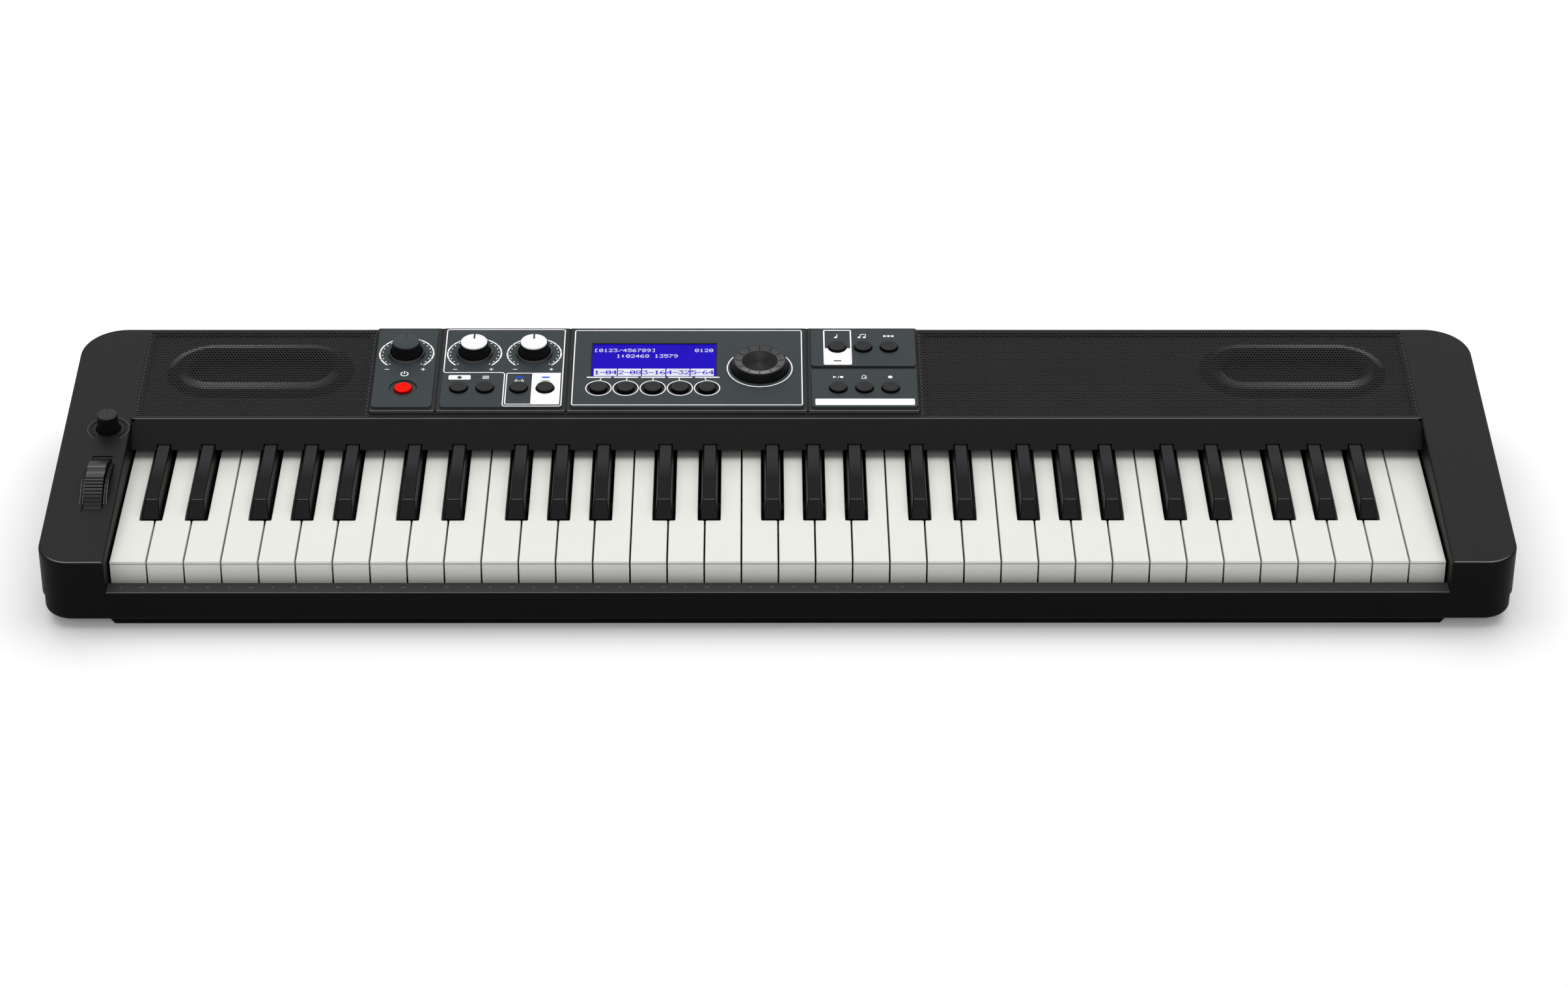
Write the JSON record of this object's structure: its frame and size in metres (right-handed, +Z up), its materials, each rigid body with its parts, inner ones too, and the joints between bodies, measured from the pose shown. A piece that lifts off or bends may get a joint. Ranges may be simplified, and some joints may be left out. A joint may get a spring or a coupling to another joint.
{
  "type": "arranger keyboard",
  "caption": "Slim portable electronic keyboard with full-size keys, sloping speaker deck, display panel, knobs, data dial and pitch wheel.",
  "frame": {"origin": "on the floor under the middle of the case", "axes": "+X to the treble end, +Y to the rear, +Z up"},
  "size_m": [0.93, 0.258, 0.0834],
  "materials": {
    "case_plastic": "fine grained",
    "lower_plastic": "fine grained",
    "rubber": "matte",
    "screw_steel": "blackened",
    "grille_metal": "satin",
    "inner_plastic": "matte",
    "panel_black": "satin",
    "display_window": "gloss",
    "lcd_frame": "matte",
    "circuit_board": "satin",
    "chassis_plastic": "matte",
    "felt": "felt",
    "plate_grey": "satin",
    "white_key": "satin",
    "black_key": "satin",
    "control_black": "satin",
    "knob_grey": "satin",
    "knob_white": "satin",
    "button_grey": "satin",
    "button_red": "satin"
  },
  "bodies": {
    "case": {"upper_case": "case_plastic", "lower_case": "lower_plastic", "rubber_feet": "rubber", "case_screws": "screw_steel", "speaker_grille_left": "grille_metal", "speaker_grille_right": "grille_metal", "speaker_drivers": "inner_plastic", "panel_base": "panel_black", "display_lens": "display_window", "lcd_module": "lcd_frame", "control_board": "circuit_board", "key_chassis": "chassis_plastic", "key_contact_board": "circuit_board", "key_contact_rubber": "rubber", "key_stop_felt": "felt", "bender_bracket": "inner_plastic", "socket_unit": "inner_plastic", "volume_plate": "plate_grey", "effects_plate": "plate_grey", "display_plate": "plate_grey", "tone_plate": "plate_grey", "transport_plate": "plate_grey"},
    "white_keys_cegb_1": {"white_keys_cegb_1": "white_key"},
    "white_keys_dfa_1": {"white_keys_dfa_1": "white_key"},
    "black_keys_1": {"black_keys_1": "black_key"},
    "white_keys_cegb_2": {"white_keys_cegb_2": "white_key"},
    "white_keys_dfa_2": {"white_keys_dfa_2": "white_key"},
    "black_keys_2": {"black_keys_2": "black_key"},
    "white_keys_cegb_3": {"white_keys_cegb_3": "white_key"},
    "white_keys_dfa_3": {"white_keys_dfa_3": "white_key"},
    "black_keys_3": {"black_keys_3": "black_key"},
    "white_keys_cegb_4": {"white_keys_cegb_4": "white_key"},
    "white_keys_dfa_4": {"white_keys_dfa_4": "white_key"},
    "black_keys_4": {"black_keys_4": "black_key"},
    "white_keys_cegb_5": {"white_keys_cegb_5": "white_key"},
    "white_keys_dfa_5": {"white_keys_dfa_5": "white_key"},
    "black_keys_5": {"black_keys_5": "black_key"},
    "white_key_top_c": {"white_key_top_c": "white_key"},
    "volume_knob": {"volume_knob": "knob_grey"},
    "effect_knob_1": {"effect_knob_1": "knob_white"},
    "effect_knob_2": {"effect_knob_2": "knob_white"},
    "modulation_knob": {"modulation_knob": "control_black"},
    "data_dial": {"data_dial": "control_black"},
    "pitch_wheel": {"pitch_wheel": "control_black"},
    "power_button": {"power_button": "button_red"},
    "home_button": {"home_button": "button_grey"},
    "menu_button": {"menu_button": "button_grey"},
    "surround_button": {"surround_button": "button_grey"},
    "dsp_button": {"dsp_button": "button_grey"},
    "display_button_1": {"display_button_1": "button_grey"},
    "display_button_2": {"display_button_2": "button_grey"},
    "display_button_3": {"display_button_3": "button_grey"},
    "display_button_4": {"display_button_4": "button_grey"},
    "display_button_5": {"display_button_5": "button_grey"},
    "tone_button": {"tone_button": "button_grey"},
    "rhythm_button": {"rhythm_button": "button_grey"},
    "registration_button": {"registration_button": "button_grey"},
    "play_button": {"play_button": "button_grey"},
    "tempo_button": {"tempo_button": "button_grey"},
    "record_button": {"record_button": "button_grey"}
  },
  "joints": [
    {"name": "white_keys_cegb_1_press", "type": "hinge", "parent": "case", "child": "white_keys_cegb_1", "pos_m": [-0.3393, 0.07528, 0.0295], "axis": [1, 0, 0], "range_deg": [0, 2.9], "stiffness_Nm_per_rad": 4.6, "springref_deg": -5.73},
    {"name": "white_keys_dfa_1_press", "type": "hinge", "parent": "case", "child": "white_keys_dfa_1", "pos_m": [-0.3393, 0.06828, 0.034], "axis": [1, 0, 0], "range_deg": [0, 3.02], "stiffness_Nm_per_rad": 3.45, "springref_deg": -5.73},
    {"name": "black_keys_1_press", "type": "hinge", "parent": "case", "child": "black_keys_1", "pos_m": [-0.3393, 0.06128, 0.0385], "axis": [1, 0, 0], "range_deg": [0, 3.03], "stiffness_Nm_per_rad": 5.75, "springref_deg": -5.73},
    {"name": "white_keys_cegb_2_press", "type": "hinge", "parent": "case", "child": "white_keys_cegb_2", "pos_m": [-0.1755, 0.07528, 0.0295], "axis": [1, 0, 0], "range_deg": [0, 2.9], "stiffness_Nm_per_rad": 4.6, "springref_deg": -5.73},
    {"name": "white_keys_dfa_2_press", "type": "hinge", "parent": "case", "child": "white_keys_dfa_2", "pos_m": [-0.1755, 0.06828, 0.034], "axis": [1, 0, 0], "range_deg": [0, 3.02], "stiffness_Nm_per_rad": 3.45, "springref_deg": -5.73},
    {"name": "black_keys_2_press", "type": "hinge", "parent": "case", "child": "black_keys_2", "pos_m": [-0.1755, 0.06128, 0.0385], "axis": [1, 0, 0], "range_deg": [0, 3.03], "stiffness_Nm_per_rad": 5.75, "springref_deg": -5.73},
    {"name": "white_keys_cegb_3_press", "type": "hinge", "parent": "case", "child": "white_keys_cegb_3", "pos_m": [-0.0117, 0.07528, 0.0295], "axis": [1, 0, 0], "range_deg": [0, 2.9], "stiffness_Nm_per_rad": 4.6, "springref_deg": -5.73},
    {"name": "white_keys_dfa_3_press", "type": "hinge", "parent": "case", "child": "white_keys_dfa_3", "pos_m": [-0.0117, 0.06828, 0.034], "axis": [1, 0, 0], "range_deg": [0, 3.02], "stiffness_Nm_per_rad": 3.45, "springref_deg": -5.73},
    {"name": "black_keys_3_press", "type": "hinge", "parent": "case", "child": "black_keys_3", "pos_m": [-0.0117, 0.06128, 0.0385], "axis": [1, 0, 0], "range_deg": [0, 3.03], "stiffness_Nm_per_rad": 5.75, "springref_deg": -5.73},
    {"name": "white_keys_cegb_4_press", "type": "hinge", "parent": "case", "child": "white_keys_cegb_4", "pos_m": [0.1521, 0.07528, 0.0295], "axis": [1, 0, 0], "range_deg": [0, 2.9], "stiffness_Nm_per_rad": 4.6, "springref_deg": -5.73},
    {"name": "white_keys_dfa_4_press", "type": "hinge", "parent": "case", "child": "white_keys_dfa_4", "pos_m": [0.1521, 0.06828, 0.034], "axis": [1, 0, 0], "range_deg": [0, 3.02], "stiffness_Nm_per_rad": 3.45, "springref_deg": -5.73},
    {"name": "black_keys_4_press", "type": "hinge", "parent": "case", "child": "black_keys_4", "pos_m": [0.1521, 0.06128, 0.0385], "axis": [1, 0, 0], "range_deg": [0, 3.03], "stiffness_Nm_per_rad": 5.75, "springref_deg": -5.73},
    {"name": "white_keys_cegb_5_press", "type": "hinge", "parent": "case", "child": "white_keys_cegb_5", "pos_m": [0.3159, 0.07528, 0.0295], "axis": [1, 0, 0], "range_deg": [0, 2.9], "stiffness_Nm_per_rad": 4.6, "springref_deg": -5.73},
    {"name": "white_keys_dfa_5_press", "type": "hinge", "parent": "case", "child": "white_keys_dfa_5", "pos_m": [0.3159, 0.06828, 0.034], "axis": [1, 0, 0], "range_deg": [0, 3.02], "stiffness_Nm_per_rad": 3.45, "springref_deg": -5.73},
    {"name": "black_keys_5_press", "type": "hinge", "parent": "case", "child": "black_keys_5", "pos_m": [0.3159, 0.06128, 0.0385], "axis": [1, 0, 0], "range_deg": [0, 3.03], "stiffness_Nm_per_rad": 5.75, "springref_deg": -5.73},
    {"name": "white_key_top_c_press", "type": "hinge", "parent": "case", "child": "white_key_top_c", "pos_m": [0.4095, 0.07528, 0.0295], "axis": [1, 0, 0], "range_deg": [0, 2.9], "stiffness_Nm_per_rad": 1.15, "springref_deg": -5.73},
    {"name": "volume_knob_turn", "type": "hinge", "parent": "case", "child": "volume_knob", "pos_m": [-0.2468, 0.09443, 0.06915], "axis": [0, -0.0854, 0.9963], "range_deg": [-140, 140]},
    {"name": "effect_knob_1_turn", "type": "hinge", "parent": "case", "child": "effect_knob_1", "pos_m": [-0.2016, 0.09443, 0.06915], "axis": [0, -0.0854, 0.9963], "range_deg": [-140, 140]},
    {"name": "effect_knob_2_turn", "type": "hinge", "parent": "case", "child": "effect_knob_2", "pos_m": [-0.1618, 0.09443, 0.06915], "axis": [0, -0.0854, 0.9963], "range_deg": [-140, 140]},
    {"name": "modulation_knob_turn", "type": "hinge", "parent": "case", "child": "modulation_knob", "pos_m": [-0.436, 0.01439, 0.06229], "axis": [0, -0.0854, 0.9963], "range_deg": [-140, 140]},
    {"name": "data_dial_turn", "type": "hinge", "parent": "case", "child": "data_dial", "pos_m": [-0.0115, 0.07898, 0.06783], "axis": [0, -0.0854, 0.9963], "continuous": true},
    {"name": "pitch_wheel_turn", "type": "hinge", "parent": "case", "child": "pitch_wheel", "pos_m": [-0.436, -0.04351, 0.03154], "axis": [1, 0, 0], "range_deg": [-30, 30], "stiffness_Nm_per_rad": 0.08},
    {"name": "power_button_press", "type": "slide", "parent": "case", "child": "power_button", "axis": [0, 0.0854, -0.9963], "range_m": [0, 0.001], "stiffness_N_per_m": 150, "springref_m": -0.002},
    {"name": "home_button_press", "type": "slide", "parent": "case", "child": "home_button", "axis": [0, 0.0854, -0.9963], "range_m": [0, 0.001], "stiffness_N_per_m": 150, "springref_m": -0.002},
    {"name": "menu_button_press", "type": "slide", "parent": "case", "child": "menu_button", "axis": [0, 0.0854, -0.9963], "range_m": [0, 0.001], "stiffness_N_per_m": 150, "springref_m": -0.002},
    {"name": "surround_button_press", "type": "slide", "parent": "case", "child": "surround_button", "axis": [0, 0.0854, -0.9963], "range_m": [0, 0.001], "stiffness_N_per_m": 150, "springref_m": -0.002},
    {"name": "dsp_button_press", "type": "slide", "parent": "case", "child": "dsp_button", "axis": [0, 0.0854, -0.9963], "range_m": [0, 0.001], "stiffness_N_per_m": 150, "springref_m": -0.002},
    {"name": "display_button_1_press", "type": "slide", "parent": "case", "child": "display_button_1", "axis": [0, 0.0854, -0.9963], "range_m": [0, 0.001], "stiffness_N_per_m": 150, "springref_m": -0.002},
    {"name": "display_button_2_press", "type": "slide", "parent": "case", "child": "display_button_2", "axis": [0, 0.0854, -0.9963], "range_m": [0, 0.001], "stiffness_N_per_m": 150, "springref_m": -0.002},
    {"name": "display_button_3_press", "type": "slide", "parent": "case", "child": "display_button_3", "axis": [0, 0.0854, -0.9963], "range_m": [0, 0.001], "stiffness_N_per_m": 150, "springref_m": -0.002},
    {"name": "display_button_4_press", "type": "slide", "parent": "case", "child": "display_button_4", "axis": [0, 0.0854, -0.9963], "range_m": [0, 0.001], "stiffness_N_per_m": 150, "springref_m": -0.002},
    {"name": "display_button_5_press", "type": "slide", "parent": "case", "child": "display_button_5", "axis": [0, 0.0854, -0.9963], "range_m": [0, 0.001], "stiffness_N_per_m": 150, "springref_m": -0.002},
    {"name": "tone_button_press", "type": "slide", "parent": "case", "child": "tone_button", "axis": [0, 0.0854, -0.9963], "range_m": [0, 0.001], "stiffness_N_per_m": 150, "springref_m": -0.002},
    {"name": "rhythm_button_press", "type": "slide", "parent": "case", "child": "rhythm_button", "axis": [0, 0.0854, -0.9963], "range_m": [0, 0.001], "stiffness_N_per_m": 150, "springref_m": -0.002},
    {"name": "registration_button_press", "type": "slide", "parent": "case", "child": "registration_button", "axis": [0, 0.0854, -0.9963], "range_m": [0, 0.001], "stiffness_N_per_m": 150, "springref_m": -0.002},
    {"name": "play_button_press", "type": "slide", "parent": "case", "child": "play_button", "axis": [0, 0.0854, -0.9963], "range_m": [0, 0.001], "stiffness_N_per_m": 150, "springref_m": -0.002},
    {"name": "tempo_button_press", "type": "slide", "parent": "case", "child": "tempo_button", "axis": [0, 0.0854, -0.9963], "range_m": [0, 0.001], "stiffness_N_per_m": 150, "springref_m": -0.002},
    {"name": "record_button_press", "type": "slide", "parent": "case", "child": "record_button", "axis": [0, 0.0854, -0.9963], "range_m": [0, 0.001], "stiffness_N_per_m": 150, "springref_m": -0.002}
  ]
}
